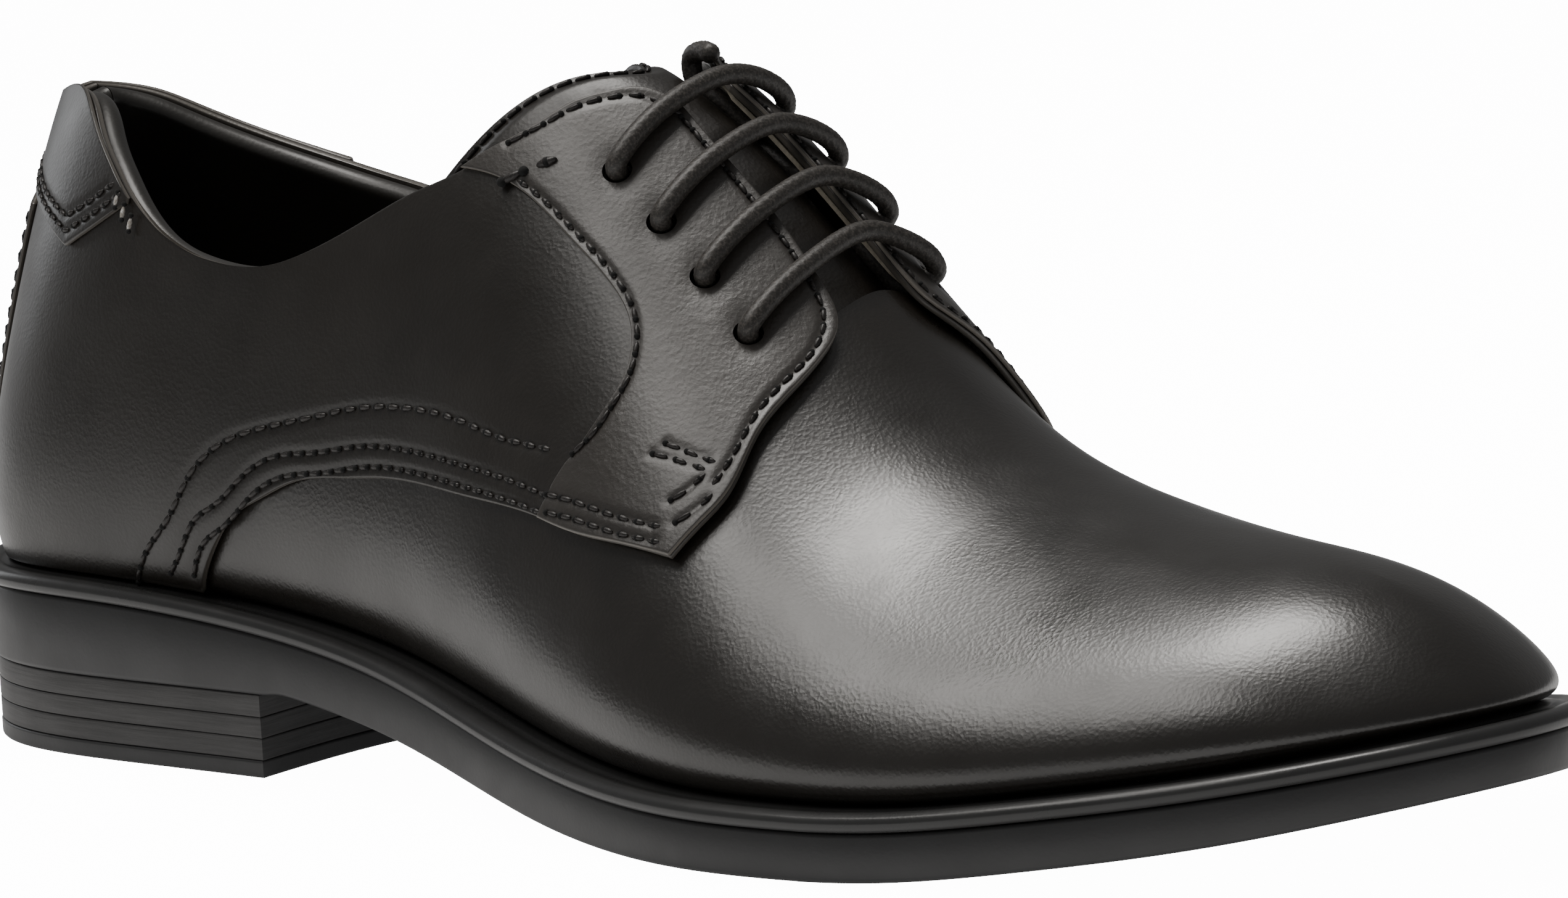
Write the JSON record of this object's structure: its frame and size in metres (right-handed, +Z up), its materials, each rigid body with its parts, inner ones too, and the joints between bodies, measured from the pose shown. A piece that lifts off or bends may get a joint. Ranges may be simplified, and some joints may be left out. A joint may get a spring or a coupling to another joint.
{
  "type": "leather oxford shoe",
  "caption": "Plain-toe lace-up dress shoe for the right foot: leather upper open over a tongue, laced quarters, welted rubber sole and low stacked heel.",
  "frame": {"origin": "centre of the shoe's bounding box, on the ground the sole and heel stand on", "axes": "+X from the heel to the toe, +Y to the inner (medial) side of the foot, +Z up"},
  "size_m": [0.3124, 0.1098, 0.1101],
  "materials": {
    "upper_leather": "fine-grained, semi-gloss",
    "facing_leather": "coarser grain, satin",
    "lining_leather": "smooth, matte",
    "tape": "woven reinforcing tape",
    "fibreboard": "pressed fibre",
    "foam": "soft open-cell foam",
    "lace_cord": "round braid, waxed",
    "welt_rubber": "polished edge",
    "sole_rubber": "satin",
    "lift_rubber": "fine horizontal scratches",
    "cork": "granulated cork filler",
    "steel": "tempered strip and nails"
  },
  "bodies": {
    "shoe": {"quarter_lateral": "upper_leather", "quarter_medial": "upper_leather", "facing_lateral": "facing_leather", "facing_medial": "facing_leather", "facing_stay_lateral": "tape", "facing_stay_medial": "tape", "quarter_lining_lateral": "lining_leather", "quarter_lining_medial": "lining_leather", "vamp": "upper_leather", "vamp_lining": "lining_leather", "toe_puff": "fibreboard", "heel_counter": "fibreboard", "collar_foam": "foam", "collar_patch": "upper_leather", "back_strip": "upper_leather", "lace": "lace_cord", "insole_board": "fibreboard", "sock": "lining_leather", "welt": "welt_rubber", "forepart_filler": "cork", "seat_filler": "cork", "shank": "steel", "outsole": "sole_rubber", "heel_lift_1": "lift_rubber", "heel_lift_2": "lift_rubber", "heel_lift_3": "lift_rubber", "heel_top_piece": "sole_rubber", "heel_nail_1": "steel", "heel_nail_2": "steel", "heel_nail_3": "steel", "heel_nail_4": "steel", "heel_nail_5": "steel"},
    "tongue": {"tongue": "upper_leather", "tongue_lining": "lining_leather"}
  },
  "joints": [
    {"name": "tongue_hinge", "type": "hinge", "parent": "shoe", "child": "tongue", "pos_m": [0.0325, 0.0085, 0.0585], "axis": [0, 1, 0], "range_deg": [-12, 0]}
  ]
}
